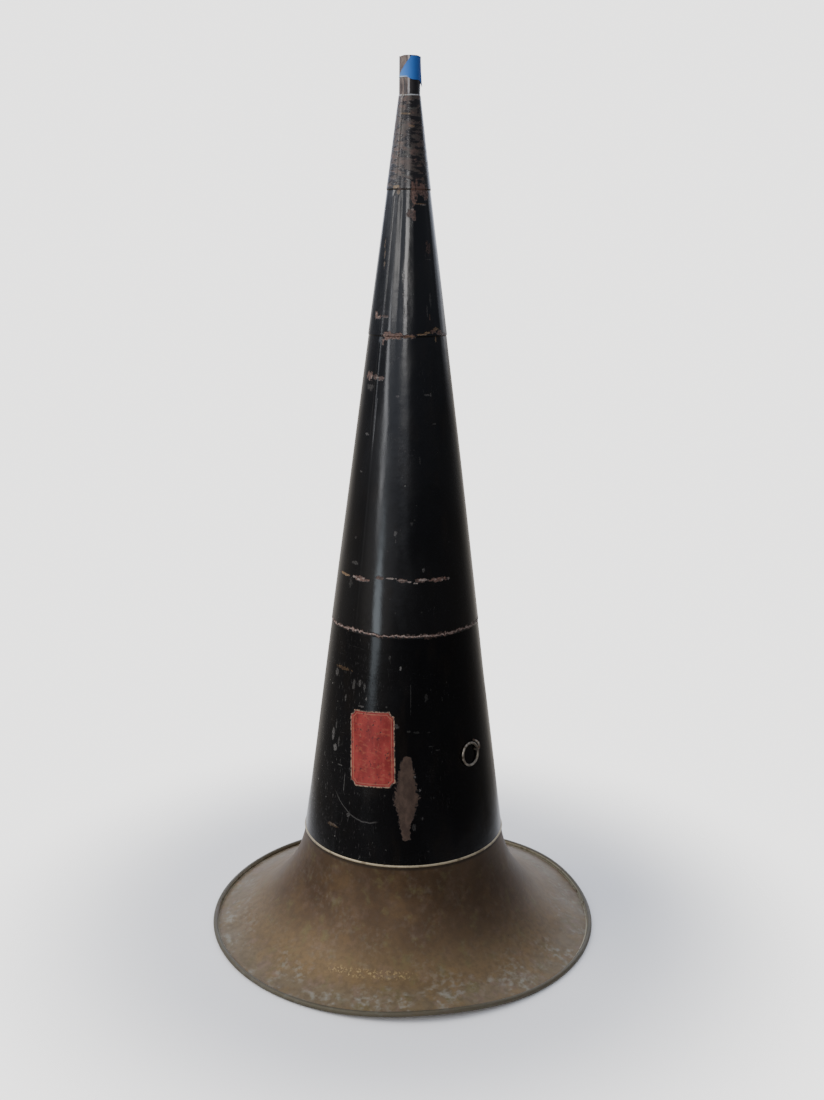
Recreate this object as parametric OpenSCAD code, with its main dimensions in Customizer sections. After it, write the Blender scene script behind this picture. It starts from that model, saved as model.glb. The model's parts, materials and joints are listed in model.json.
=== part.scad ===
// Acoustic speaking horn: a long japanned tin cone, built up in four lapped and soldered
// sections, with a spun brass bell, a short mouth tube and a hanging ring on a wire eye.
// It stands on the bell. Origin: centre of the rim plane. +Z: along the axis to the mouth tube.
// The wire eye is on the +X side. All sizes in millimetres, angles in degrees.

/* [Horn] */
// Overall length, from the rim plane to the end of the mouth tube
horn_h = 764; // [755:1:790]
// Diameter of the bell over its rolled rim
bell_d = 355.6; // [340:0.1:370]
// Outer diameter of the cone at its wide end
cone_base_d = 181.6; // [178:0.1:185]
// Height of the cone's wide end above the rim plane
bell_h = 94.5; // [90:0.5:100]
// Height of the middle section's lower edge
middle_z = 292; // [270:1:320]
// Height of the upper section's lower edge
upper_z = 542; // [520:1:560]
// Height of the throat section's lower edge
throat_z = 660; // [640:1:680]
// Height of the throat section's top edge
throat_top_z = 733; // [725:1:745]

/* [Mouth tube] */
// Outer diameter of the mouth tube
tube_d = 17.4; // [16.8:0.1:18]
// Wall of the mouth tube
tube_t = 0.6; // [0.5:0.05:0.8]
// Length of the tube that sits inside the throat
tube_tuck = 11; // [8:1:14]
// Depth by which the tube's foot is drawn in, from the solder down
tube_swage = 0.2; // [0.2:0.05:0.3]

/* [Sheet metal] */
// Thickness of the tin sheet, measured level
sheet_t = 0.45; // [0.35:0.05:0.6]
// Thickness of the brass sheet
brass_t = 0.6; // [0.5:0.05:0.7]
// Solder film between two lapped sheets
film = 0.05; // [0.03:0.01:0.08]
// Height over which one section laps the next
lap = 8; // [6:1:10]
// Height of the solder fillet under each lap
fillet_h = 1; // [0.8:0.1:1.5]
// Width of the folded side seam
seam_w = 3.5; // [3:0.1:4.5]
// Height of the folded side seam above the sheet
seam_h = 0.6; // [0.4:0.05:0.8]
// Direction of the side seam in the three lower sections
seam_turn = -93; // [-110:1:-80]
// Direction of the side seam in the throat section
throat_seam_turn = -90; // [-110:1:-80]

/* [Bell] */
// Slope of the bell at its rim, off the axis
flare_end = 78.1; // [77:0.1:79]
// Radius of the rolled rim
roll_r = 2.2; // [2:0.05:2.5]
// Depth of the flat worn on the underside of the rolled rim
rim_wear = 0.05; // [0.03:0.01:0.1]
// Depth of the flare's foot in the rolled rim
roll_bite = 0.05; // [0.03:0.01:0.08]
// Running gap round the wire in the rolled rim
wire_gap = 0.05; // [0.03:0.01:0.1]
// Radius of the half-round bead under the cone's wide end
bead_r = 1.2; // [1:0.05:1.4]
// Height of the bell's neck inside the cone
neck_tuck = 9.5; // [8:0.5:12]

/* [Ring and eye] */
// Height of the middle of the wire eye
eye_z = 190; // [180:1:210]
// Radius of the eye's wire
eye_wire_r = 0.9; // [0.8:0.05:0.95]
// Radius of the eye's arch, to the middle of the wire
arch_r = 4; // [3.9:0.05:4.3]
// Straight length of the eye's legs outside the cone
leg_out = 2; // [1.8:0.1:2.5]
// Length of the eye's legs inside the cone
leg_in = 1.6; // [1.2:0.1:2.5]
// Clearance of the eye's legs in their holes
leg_gap = 0.05; // [0.03:0.01:0.1]
// Radius of the hanging ring, to the middle of the wire
ring_r = 9.7; // [9.6:0.1:10.5]
// Radius of the hanging ring's wire
ring_wire_r = 1.1; // [1:0.05:1.15]
// Place on the ring that the eye holds, up from its side
ring_hold = 45; // [43:1:50]
// Height of that place above the middle of the eye
hold_rise = 0.3; // [0.2:0.1:0.4]
// Gap between the resting ring and the cone
rest_gap = 0.2; // [0.15:0.05:0.3]

/* [Label] */
// Width of the label
label_w = 39; // [30:1:46]
// Height of the label
label_h = 66; // [50:1:70]
// Height of the label's middle
label_z = 194; // [185:1:205]
// Direction of the label's middle
label_turn = -72; // [-80:1:-60]
// Radius of the notch in each corner of the label
label_notch = 4; // [2:0.5:6]
// Thickness of the label
label_t = 0.15; // [0.1:0.05:0.2]

/* [Hidden] */
$fn = 180;
japan = "#1b1c20";
worn_tin = "#5c5048";
solder = "#8d8b84";
brass = "#7b6c48";
steel = "#8a857a";

// The cone is one straight taper. Each section is one step outside the section below it.
step = sheet_t + film;
tube_r = tube_d / 2;
tube_foot_r = tube_r - tube_swage;
throat_top_r = tube_r + film + sheet_t;
taper = (cone_base_d / 2 + 3 * step - throat_top_r) / (throat_top_z - bell_h);
function outer_r(z, steps = 0) = cone_base_d / 2 - (z - bell_h) * taper + steps * step;
function inner_r(z, steps = 0) = outer_r(z, steps) - sheet_t;
function neck_r(z) = inner_r(z) - film;

// The bell's middle line leaves the neck and turns on one arc into the rolled rim.
roll_at = [bell_d / 2 - roll_r, roll_r - rim_wear];
wire_r = roll_r - brass_t;
bead_z = bell_h - bead_r;
flare_top_z = bead_z - bead_r;
flare_top = [neck_r(flare_top_z) - brass_t / 2, flare_top_z];
foot_r = roll_r - brass_t / 2 - roll_bite;
flare_foot = roll_at - foot_r * [cos(flare_end), sin(flare_end)];
flare_span = flare_foot - flare_top;
flare_start = 2 * atan2(flare_span.x, -flare_span.y) - flare_end;
flare_r = norm(flare_span) / (2 * sin((flare_end - flare_start) / 2));
flare_at = flare_top + flare_r * [cos(flare_start), sin(flare_start)];
neck_top_z = bell_h + neck_tuck;
flare_steps = 32;
function flare_angle(i) = flare_start + (flare_end - flare_start) * i / flare_steps;
function flare_point(i, r) = flare_at - r * [cos(flare_angle(i)), sin(flare_angle(i))];

// The ring lies against the cone, and the eye holds it above and beside its middle.
hold_z = eye_z + hold_rise;
ring_z = hold_z - ring_r * sin(ring_hold);
ring_side = ring_r * cos(ring_hold);
ring_turn = -atan(ring_side / (outer_r(ring_z) + ring_wire_r + rest_gap));
lean = atan(taper);
ring_lift = (ring_wire_r + rest_gap) / cos(lean);
hold_x = outer_r(hold_z) / cos(ring_turn) + ring_lift / cos(ring_turn);

module revolved_band(z0, z1, steps) {
    rotate_extrude()
        polygon([[inner_r(z0, steps), z0], [outer_r(z0, steps), z0],
            [outer_r(z1, steps), z1], [inner_r(z1, steps), z1]]);
}

module side_seam(z0, z1, steps, turn) {
    root = film;
    intersection() {
        rotate_extrude()
            polygon([[outer_r(z0, steps) - root, z0], [outer_r(z0, steps) + seam_h, z0],
                [outer_r(z1, steps) + seam_h, z1], [outer_r(z1, steps) - root, z1]]);
        rotate([0, 0, turn])
            translate([0, -seam_w / 2, z0])
                cube([cone_base_d, seam_w, z1 - z0]);
    }
}

// One rolled and seamed section. The seam stops short of the part that the next one laps.
module cone_section(z0, z1, steps, turn, lapped) {
    revolved_band(z0, z1, steps);
    side_seam(z0, z1 - (lapped ? lap + 2 * fillet_h : fillet_h), steps, turn);
}

module lap_solder(z, steps) {
    rotate_extrude()
        polygon([[outer_r(z, steps), z], [outer_r(z, steps) + step, z],
            [outer_r(z - fillet_h, steps), z - fillet_h]]);
}

module eye_legs(leg_r, x0, x1) {
    for (side = [-1, 1])
        translate([x0, 0, eye_z + side * arch_r])
            rotate([0, 90, 0])
                cylinder(r = leg_r, h = x1 - x0, $fn = 48);
}

module flare_section() {
    outside = [for (i = [0:flare_steps]) flare_point(i, flare_r - brass_t / 2)];
    inside = [for (i = [flare_steps:-1:0]) flare_point(i, flare_r + brass_t / 2)];
    neck_top = [[neck_r(neck_top_z) - brass_t, neck_top_z], [neck_r(neck_top_z), neck_top_z]];
    polygon(concat(neck_top, outside, inside));
}

module roll_section(r) {
    translate(roll_at)
        circle(r = r, $fn = 48);
}

module bell() {
    color(brass)
        difference() {
            union() {
                rotate_extrude()
                    flare_section();
                rotate_extrude()
                    roll_section(roll_r);
            }
            rotate_extrude()
                roll_section(wire_r);
            translate([0, 0, -2 * roll_r])
                cylinder(r = bell_d, h = 2 * roll_r);
        }
}

module rim_wire() {
    color(steel)
        rotate_extrude()
            roll_section(wire_r - wire_gap);
}

module bell_bead() {
    color(brass)
        rotate_extrude()
            difference() {
                translate([neck_r(bead_z), bead_z])
                    circle(r = bead_r, $fn = 48);
                polygon([[0, flare_top_z], [neck_r(flare_top_z) + film, flare_top_z],
                    [neck_r(bell_h) + film, bell_h], [0, bell_h]]);
            }
}

module bell_solder() {
    color(solder)
        rotate_extrude()
            polygon([[inner_r(neck_top_z) - brass_t, neck_top_z], [inner_r(neck_top_z), neck_top_z],
                [inner_r(neck_top_z + fillet_h), neck_top_z + fillet_h]]);
}

module lower_cone() {
    color(japan)
        difference() {
            cone_section(bell_h, middle_z + lap, 0, seam_turn, true);
            eye_legs(eye_wire_r + leg_gap, outer_r(eye_z) - 5 * leg_in, outer_r(eye_z) + leg_out);
        }
}

module middle_cone() {
    color(japan)
        cone_section(middle_z, upper_z + lap, 1, seam_turn, true);
}

module upper_cone() {
    color(japan)
        cone_section(upper_z, throat_z + lap, 2, seam_turn, true);
}

module throat_cone() {
    color(worn_tin)
        cone_section(throat_z, throat_top_z, 3, throat_seam_turn, false);
}

module middle_lap_solder() {
    color(solder)
        lap_solder(middle_z, 0);
}

module upper_lap_solder() {
    color(solder)
        lap_solder(upper_z, 1);
}

module throat_lap_solder() {
    color(solder)
        lap_solder(throat_z, 2);
}

module mouth_tube() {
    foot_z = throat_top_z - tube_tuck;
    shoulder_z = throat_top_z + fillet_h;
    bore_r = tube_r - tube_t;
    color(worn_tin)
        rotate_extrude()
            polygon([[bore_r, foot_z], [tube_foot_r, foot_z], [tube_foot_r, shoulder_z],
                [tube_r, shoulder_z], [tube_r, horn_h], [bore_r, horn_h]]);
}

module mouth_tube_solder() {
    color(solder)
        rotate_extrude()
            polygon([[tube_foot_r, throat_top_z], [throat_top_r, throat_top_z],
                [tube_r, throat_top_z + fillet_h], [tube_foot_r, throat_top_z + fillet_h]]);
}

module ring_eye() {
    foot_x = outer_r(eye_z) - sheet_t - leg_in;
    arch_x = outer_r(eye_z) + leg_out;
    color(steel) {
        eye_legs(eye_wire_r, foot_x, arch_x);
        translate([arch_x, 0, eye_z])
            rotate([90, 0, 0])
                rotate([0, 0, -90])
                    rotate_extrude(angle = 180)
                        translate([arch_r, 0])
                            circle(r = eye_wire_r, $fn = 48);
    }
}

module eye_solder() {
    blob_r = 2.5 * eye_wire_r;
    blob_t = 0.8;
    reach = 2 * leg_in + blob_r;
    z0 = eye_z - arch_r - blob_r;
    z1 = eye_z + arch_r + blob_r;
    color(solder)
        difference() {
            intersection() {
                eye_legs(blob_r, outer_r(eye_z) - reach, outer_r(eye_z) + reach);
                rotate_extrude()
                    polygon([[inner_r(z0) - blob_t, z0], [inner_r(z0), z0],
                        [inner_r(z1), z1], [inner_r(z1) - blob_t, z1]]);
            }
            eye_legs(eye_wire_r, outer_r(eye_z) - 2 * reach, outer_r(eye_z) + reach);
        }
}

module hanging_ring() {
    color(steel)
        translate([hold_x, 0, hold_z])
            rotate([0, 0, ring_turn])
                rotate([0, -lean, 0])
                    translate([0, -ring_side, -ring_r * sin(ring_hold)])
                        rotate([0, 90, 0])
                            rotate_extrude()
                                translate([ring_r, 0])
                                    circle(r = ring_wire_r, $fn = 48);
}

module label_outline() {
    difference() {
        square([label_w, label_h], center = true);
        for (x = [-1, 1], y = [-1, 1])
            translate([x * label_w / 2, y * label_h / 2])
                circle(r = label_notch, $fn = 48);
    }
}

module label() {
    z0 = label_z - label_h / 2 - 1;
    z1 = label_z + label_h / 2 + 1;
    color("#b03a34")
        intersection() {
            rotate_extrude()
                polygon([[outer_r(z0) + film, z0], [outer_r(z0) + film + label_t, z0],
                    [outer_r(z1) + film + label_t, z1], [outer_r(z1) + film, z1]]);
            rotate([0, 0, label_turn])
                translate([outer_r(label_z) / 2, 0, label_z])
                    rotate([90, 0, 90])
                        linear_extrude(cone_base_d / 2)
                            label_outline();
        }
}

bell();
rim_wire();
bell_bead();
bell_solder();
lower_cone();
middle_cone();
upper_cone();
throat_cone();
middle_lap_solder();
upper_lap_solder();
throat_lap_solder();
mouth_tube();
mouth_tube_solder();
ring_eye();
eye_solder();
hanging_ring();
label();
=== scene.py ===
import json
import math

import bpy
import numpy as np
from mathutils import Matrix, Vector


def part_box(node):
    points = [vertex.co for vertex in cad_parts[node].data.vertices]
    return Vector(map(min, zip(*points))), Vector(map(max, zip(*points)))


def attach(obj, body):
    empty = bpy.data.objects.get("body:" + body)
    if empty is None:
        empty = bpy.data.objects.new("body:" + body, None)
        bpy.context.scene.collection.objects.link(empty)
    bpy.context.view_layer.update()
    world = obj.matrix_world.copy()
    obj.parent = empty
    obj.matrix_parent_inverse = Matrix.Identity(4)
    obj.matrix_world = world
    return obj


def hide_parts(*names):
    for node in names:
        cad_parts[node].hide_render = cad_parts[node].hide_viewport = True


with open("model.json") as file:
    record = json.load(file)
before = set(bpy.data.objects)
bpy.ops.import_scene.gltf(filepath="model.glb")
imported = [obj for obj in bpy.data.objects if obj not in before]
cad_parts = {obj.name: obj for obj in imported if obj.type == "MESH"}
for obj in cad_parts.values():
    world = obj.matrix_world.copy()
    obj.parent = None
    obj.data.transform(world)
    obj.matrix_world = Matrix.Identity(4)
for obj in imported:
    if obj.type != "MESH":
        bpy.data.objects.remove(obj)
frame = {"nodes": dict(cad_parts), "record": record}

MM = 0.001
TURN = 2 * math.pi
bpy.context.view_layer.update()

# The side that the camera sees lies this far round from +X. Marks are placed by their turn
# from it, in degrees, positive to the right, and by their height, in millimetres.
FRONT = -51.0


# ---- Places read from the frame ----


def vertices(node):
    """A CAD node's vertices, in metres."""
    return np.array([v.co for v in frame["nodes"][node].data.vertices])


def level(node, height):
    """A round node's inner and outer radius at a height, on the +X side, clear of the seam."""
    points = vertices(node)
    here = np.abs(points[:, 2] - height) < 0.01 * MM
    clear = points[:, 0] > np.abs(points[:, 1])
    radii = np.hypot(*points[here & clear][:, :2].T)
    return radii.min(), radii.max()


def mount(name):
    """One of the record's mounts."""
    return next(m for m in frame["record"]["mounts"] if m["name"] == name)


class Section:
    """One sheet section of the horn, as its CAD node has it: a plain taper and a side seam."""

    def __init__(self, node):
        low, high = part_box(node)
        self.node, self.low_z, self.high_z = node, low.z, high.z
        _, self.low_r = level(node, low.z)
        bore_r, self.high_r = level(node, high.z)
        self.sheet = self.high_r - bore_r
        points = vertices(node)
        radii = np.hypot(points[:, 0], points[:, 1])
        proud = radii - self.radius(points[:, 2])
        seam = points[proud > 0.5 * proud.max()]
        self.seam_h = proud.max()
        self.seam_turn = math.atan2(seam[:, 1].mean(), seam[:, 0].mean())
        self.seam_top = seam[:, 2].max()

    def radius(self, height):
        """Outer radius of the plain taper at a height."""
        share = (height - self.low_z) / (self.high_z - self.low_z)
        return self.low_r + (self.high_r - self.low_r) * share


LOWER, MIDDLE, UPPER, THROAT = (
    Section(name + "_cone") for name in ("lower", "middle", "upper", "throat")
)


# ---- How far the metal is out of true ----

# Waves in the tin: (bumps round the horn, waves in a metre of height, size in mm, phase)
SWAY = [(2, 1.6, 0.15, 0.4), (3, 2.9, 0.1, 2.1), (5, 4.7, 0.05, 4.0), (7, 7.3, 0.02, 1.2)]
CREASES = [(17, 1.1, 0.05, 0.6), (26, -0.8, 0.036, 1.9), (37, 1.7, 0.014, 5.0)]
# Dents: (turn, height, depth, half width, half height), depth positive inwards
DENTS = [
    (4, 566, 0.07, 3.5, 8), (-13, 592, -0.18, 4, 13), (22, 608, 0.2, 8, 16),
    (-30, 470, 0.22, 9, 26), (18, 400, 0.2, 14, 22), (-8, 250, 0.22, 18, 20),
    (-58, 150, 0.35, 12, 16), (150, 320, 0.6, 16, 20), (-140, 430, 0.5, 12, 24),
    (120, 600, 0.5, 6, 9), (175, 150, 0.5, 18, 14), (95, 240, 0.35, 14, 22),
]


def smooth(value, start, end):
    """0 before start, 1 after end, and a soft rise between."""
    share = np.clip((value - start) / (end - start), 0, 1)
    return share * share * (3 - 2 * share)


def turned(angle, turn):
    """Angle round the horn, in radians, from a turn given in degrees from the front."""
    return (angle - math.radians(FRONT + turn) + math.pi) % TURN - math.pi


def circle(count):
    """Evenly spaced angles once round."""
    return np.linspace(0, TURN, count, endpoint=False)


def ray(angle):
    """The direction at an angle: how far across and how far up."""
    return np.stack([np.cos(angle), np.sin(angle)], -1)


def waves(angle, height, table):
    """The sum of a table of waves, in metres."""
    return sum(
        size * MM * np.cos(around * angle + TURN * along * height + phase)
        for around, along, size, phase in table
    )


def swell(angle, height):
    """How far the tin stands out from its plain taper at a place, in metres."""
    z = height / MM
    creased = smooth(z, 470, 560) * (1 - smooth(z, 648, 660))
    out = waves(angle, height, SWAY) + creased * waves(angle, height, CREASES)
    for turn, at, depth, wide, tall in DENTS:
        across = turned(angle, turn) * LOWER.radius(at * MM) / (wide * MM)
        out = out - depth * MM * np.exp(-(across**2) - ((z - at) / tall) ** 2)
    # The bell and the mouth tube hold the ends round, and the ring rests on true metal.
    held = smooth(z, 96, 130) * (1 - smooth(z, 690, 728))
    near_ring = np.exp(-((turned(angle, 47) / 0.35) ** 2) - ((z - 184) / 30) ** 2)
    return out * held * (1 - 0.9 * near_ring)


def around(angle, height, radius):
    """Points at a radius round the horn."""
    angle, height, radius = np.broadcast_arrays(angle, height, radius)
    return np.stack([radius * np.cos(angle), radius * np.sin(angle), height], -1)


def on_tin(angle, height, radius):
    """Points at a radius round the horn, carried by the tin's swell."""
    return around(angle, height, radius + swell(angle, height))


# ---- Mesh building ----


# An edge where two faces meet more sharply than this is crisp
CRISP = math.radians(35)


def placed(name, data):
    """A new object in the scene."""
    thing = bpy.data.objects.new(name, data)
    bpy.context.scene.collection.objects.link(thing)
    return thing


def piece(name, points, faces, materials, skin=None):
    """A smooth mesh piece. skin gives each face the number of its material."""
    mesh = bpy.data.meshes.new(name)
    mesh.from_pydata(points.reshape(-1, 3).tolist(), [], faces.tolist())
    for material in materials:
        mesh.materials.append(material)
    if skin is not None:
        mesh.polygons.foreach_set("material_index", np.asarray(skin, np.int32))
    mesh.shade_smooth()
    mesh.set_sharp_from_angle(angle=CRISP)
    return placed(name, mesh)


def loops(name, rows, materials, skin=None):
    """A closed tube of quads from loops of points, where the last loop joins the first.
    skin gives each loop the material of the band that starts at it."""
    rows = np.array(rows)
    count, columns = rows.shape[:2]
    number = np.arange(count * columns).reshape(count, columns)
    up, beside = np.roll(number, -1, 0), np.roll(number, -1, 1)
    both = np.roll(up, -1, 1)
    faces = np.stack([number, beside, both, up], -1).reshape(-1, 4)
    if skin is not None:
        skin = np.repeat(skin, columns)
    return piece(name, rows, faces, materials, skin)


def slab(name, outer, inner, materials):
    """A thin closed sheet between two grids of points of the same size."""
    count, columns = outer.shape[:2]
    number = np.arange(count * columns).reshape(count, columns)
    top = np.stack([number[:-1, :-1], number[:-1, 1:], number[1:, 1:], number[1:, :-1]], -1)
    top = top.reshape(-1, 4)
    edge = np.concatenate([number[0, :-1], number[:-1, -1], number[-1, :0:-1], number[:0:-1, 0]])
    ahead = np.roll(edge, -1)
    below = count * columns
    sides = np.stack([edge, edge + below, ahead + below, ahead], -1)
    faces = np.concatenate([top, top[:, ::-1] + below, sides])
    return piece(name, np.stack([outer, inner]), faces, materials)


def finish(thing, node, body="horn"):
    """Hangs a piece on the body it rides on and hides the CAD node that it stands for."""
    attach(thing, body)
    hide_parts(node)


# ---- Paint: procedural materials ----


def arithmetic(operation):
    """A method that works out one Math node from a value and another."""
    return lambda value, other: value.paint.math(operation, value, other)


class Value:
    """A number that varies over a surface. Arithmetic on it adds nodes to its material."""

    def __init__(self, paint, socket):
        self.paint, self.socket = paint, socket

    __add__ = __radd__ = arithmetic("ADD")
    __mul__ = __rmul__ = arithmetic("MULTIPLY")
    __sub__ = arithmetic("SUBTRACT")
    __truediv__ = arithmetic("DIVIDE")
    power = arithmetic("POWER")
    most = arithmetic("MAXIMUM")
    least = arithmetic("MINIMUM")

    def __rsub__(self, other):
        return self.paint.math("SUBTRACT", other, self)

    def __abs__(self):
        return self.paint.math("ABSOLUTE", self)

    def rise(self, start, end):
        """0 at start, 1 at end, and a soft rise between; start may be above end."""
        inputs = {"Value": self, "From Min": start, "From Max": end}
        return self.paint.value("MapRange", inputs, interpolation_type="SMOOTHSTEP")


class Nodes:
    """The shader nodes of one material or world."""

    def __init__(self, tree):
        self.tree = tree

    def give(self, socket, given):
        """Links a socket to what varies, or sets it to a constant."""
        if isinstance(given, Value):
            given = given.socket
        if isinstance(given, bpy.types.NodeSocket):
            self.tree.links.new(given, socket)
        else:
            socket.default_value = given

    def add(self, kind, inputs, output=0, **settings):
        """Adds a shader node and gives one of its output sockets."""
        node = self.tree.nodes.new("ShaderNode" + kind)
        for key, setting in settings.items():
            setattr(node, key, setting)
        for key, given in inputs.items():
            self.give(node.inputs[key], given)
        return node.outputs[output]

    def value(self, kind, inputs, output=0, **settings):
        """Adds a shader node and gives one of its outputs as a Value."""
        return Value(self, self.add(kind, inputs, output, **settings))

    def math(self, operation, *values):
        return self.value("Math", dict(enumerate(values)), operation=operation)

    def mix(self, amount, first, second):
        """The first colour where amount is 0, and the second where it is 1."""
        ends = {}
        for socket, color in ((6, first), (7, second)):
            ends[socket] = color if isinstance(color, bpy.types.NodeSocket) else (*color, 1)
        return self.add("Mix", {0: amount, **ends}, 2, data_type="RGBA")

    def coats(self, color, *layers):
        """A colour with coats over it, each as (where and how much it shows, its colour)."""
        for amount, tint in layers:
            color = self.mix(amount, color, tint)
        return color


class Paint(Nodes):
    """One material. Lengths on the surface are in millimetres, and turns in degrees."""

    def __init__(self, name):
        self.material = bpy.data.materials.new(name)
        self.material.use_nodes = True
        super().__init__(self.material.node_tree)
        self.shader = self.tree.nodes["Principled BSDF"]
        place = self.add("TexCoord", {}, output="Object")
        self.place = self.add("VectorMath", {0: place, "Scale": 1 / MM}, operation="SCALE")
        self.x, self.y, self.z = (
            self.value("SeparateXYZ", {0: self.place}, output=axis) for axis in "XYZ"
        )
        self.radius = (self.x * self.x + self.y * self.y).power(0.5)
        across, ahead = math.cos(math.radians(FRONT)), math.sin(math.radians(FRONT))
        facing = self.x * across + self.y * ahead
        beside = self.y * across - self.x * ahead
        self.turn = self.math("ARCTAN2", beside, facing) * math.degrees(1)
        self.per_degree = self.radius * math.radians(1)

    def mapped(self, shift, scale):
        """Places on the surface for a texture, shifted alike and scaled along each axis."""
        inputs = {"Vector": self.place, "Location": (shift,) * 3, "Scale": scale}
        return self.add("Mapping", inputs)

    def noise(self, size, detail=4.0, stretch=(1, 1, 1), shift=0.0):
        """Cloudy noise about 0.5, with features of a size, stretched along some axes."""
        place = self.mapped(shift, tuple(1 / (size * s) for s in stretch))
        inputs = {"Vector": place, "Scale": 1.0, "Detail": detail, "Roughness": 0.55}
        return self.value("TexNoise", inputs)

    def spun(self, size, long, detail, shift):
        """Noise that follows the bell: features of a size round it and of a length out along it."""
        round_it = 150.0 / size
        spokes = {0: self.x / self.radius * round_it, 1: self.y / self.radius * round_it}
        place = self.add("CombineXYZ", {**spokes, 2: (self.radius + shift - self.z) * (1 / long)})
        return self.value("TexNoise", {"Vector": place, "Scale": 1.0, "Detail": detail})

    def lathed(self, fine):
        """Spinning lines round the bell, finer for a larger number."""
        inputs = {0: self.radius * fine, 1: self.z * fine, 2: self.turn * 0.004}
        place = self.add("CombineXYZ", inputs)
        return self.value("TexNoise", {"Vector": place, "Scale": 1.0, "Detail": 3.0})

    def specks(self, size, share, big, shift=0.0):
        """Scattered dots: one cell in share of them holds a dot, up to big millimetres wide."""
        place = self.mapped(shift, (1 / size,) * 3)
        cell = self.add("TexVoronoi", {"Vector": place, "Scale": 1.0}, "Distance")
        chance = self.value("SeparateColor", {0: cell.node.outputs["Color"]})
        limit = chance.rise(1 - share, 1.0) * (big / size)
        return (limit - Value(self, cell)).rise(0.0, 0.25 * big / size)

    def arc(self, turn):
        """Distance round the surface from a turn."""
        return (self.turn - turn) * self.per_degree

    def dab(self, turn, height, wide, tall, ragged):
        """A mark: 1 inside its half width and half height, and 0 outside. ragged is noise."""
        across = self.arc(turn) * (1 / wide)
        along = (self.z - height) * (1 / tall)
        return (across * across + along * along + ragged).rise(1.25, 0.6)

    def dabs(self, marks, ragged):
        """Many marks as one, each with a turn, height, half width, half height and strength."""
        total = None
        for turn, height, wide, tall, strength in marks:
            one = self.dab(turn, height, wide, tall, ragged) * strength
            total = one if total is None else total.most(one)
        return total

    def between(self, low, high, soft):
        """1 between two turns, fading out over a few degrees."""
        return self.turn.rise(low - soft, low + soft) * self.turn.rise(high + soft, high - soft)

    def relief(self, *layers):
        """The normal of a surface raised by layers, each a height of 0 to 1 and its size in mm."""
        inputs = {}
        for height, size in layers:
            inputs = {"Height": height, "Distance": size * MM, **inputs}
            inputs = {"Normal": self.add("Bump", inputs)}
        return inputs["Normal"]

    def finish(self, color, rough, normal=None, metallic=0.0, specular=0.5, alpha=1.0):
        """Sets the shader's inputs and gives the finished material."""
        inputs = {"Base Color": color, "Roughness": rough, "Metallic": metallic}
        inputs |= {"Specular IOR Level": specular, "Alpha": alpha, "Normal": normal}
        for name, given in inputs.items():
            if given is not None:
                self.give(self.shader.inputs[name], given)
        return self.material


# Colours, linear
BLACK = (0.0014, 0.0014, 0.0019)
BROWN_BLACK = (0.006, 0.0042, 0.003)
BARE_TIN = (0.036, 0.021, 0.014)
RUBBED_TIN = (0.062, 0.038, 0.026)
DARK_RUST = (0.038, 0.018, 0.011)
RUST = (0.095, 0.048, 0.029)
GOLD_RUST = (0.2, 0.13, 0.056)
PINK_RUST = (0.155, 0.086, 0.064)
PALE_EDGE = (0.27, 0.215, 0.185)
SCUFF = (0.125, 0.115, 0.105)

# Marks on the japan, each with a turn, height, half width, half height and strength.
# Red-brown rust: round the upper lap, in spots on the left, and down from the throat's foot
RUST_MARKS = [
    (-29, 541.8, 5.6, 3.4, 1), (-14, 542, 4.4, 2.6, 1), (-2, 541.6, 3.6, 1.5, 0.9),
    (7, 541.6, 2.6, 1.7, 0.9), (40, 545.6, 4.4, 1.5, 0.75), (52, 544.6, 3.6, 2.2, 0.7),
    (64, 542.8, 5, 1.8, 0.6), (-37, 537.5, 0.9, 3.2, 0.7), (-56, 558.5, 2.6, 3.4, 1),
    (-49, 556.8, 3, 1.6, 0.8), (-36, 557.6, 3, 1.1, 0.35), (-58, 508, 4.6, 3.8, 0.8),
    (-44, 508, 3, 2.6, 0.5), (-36, 507, 3.4, 2, 0.5), (35, 557.5, 0.6, 2.4, 0.4),
    (42, 613, 2.6, 5.5, 0.3), (11, 656, 2.2, 9, 0.9), (20, 659, 1.2, 8, 0.6),
    (33, 659, 5.5, 4.5, 0.8), (48, 656, 3, 5, 0.7), (6, 640.6, 3.8, 3.2, 0.55),
    (12, 638.5, 1.6, 4.2, 0.6), (-40, 338.4, 8.5, 2.1, 0.9), (-22, 341.4, 3.6, 1.5, 0.6),
    (29, 339.8, 8.6, 1.9, 0.95), (-3, 340.2, 4.4, 1.7, 0.6), (13, 340.2, 5.6, 1.6, 0.5),
    (100, 548, 5, 3, 0.8), (-160, 300, 8, 3, 0.7), (150, 541, 14, 2.5, 0.8),
    (-120, 543, 9, 2, 0.8), (170, 339, 16, 1.8, 0.7), (-150, 470, 2.5, 7, 0.5),
]
# Golden rust, where the japan is thin
GOLD_MARKS = [
    (20, 543.4, 4.6, 0.7, 0.8), (31, 544.8, 3, 0.8, 0.8), (45, 547.4, 3.2, 1.4, 0.6),
    (44, 539, 0.8, 2.6, 0.55), (3, 541.8, 5, 0.7, 0.5), (-33, 661.4, 4, 1.1, 0.8),
    (-28, 657.6, 1.6, 1.6, 0.5), (-62, 338.2, 8.4, 1.2, 0.95), (-54, 616, 0.9, 3.6, 0.3),
    (-51, 608, 0.9, 4, 0.3), (-49, 600, 0.9, 3.6, 0.3), (30, 648, 6, 0.6, 0.45),
    (-51, 258, 11, 1.5, 0.28), (-46, 118.5, 7, 1.6, 0.22), (140, 545, 6, 1.4, 0.6),
]
THROAT_GOLD = [(-16, 718.8, 4.4, 0.8, 0.6), (8, 709.2, 2.6, 0.8, 0.5), (-34, 661.5, 3.6, 1.3, 0.9)]
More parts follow.
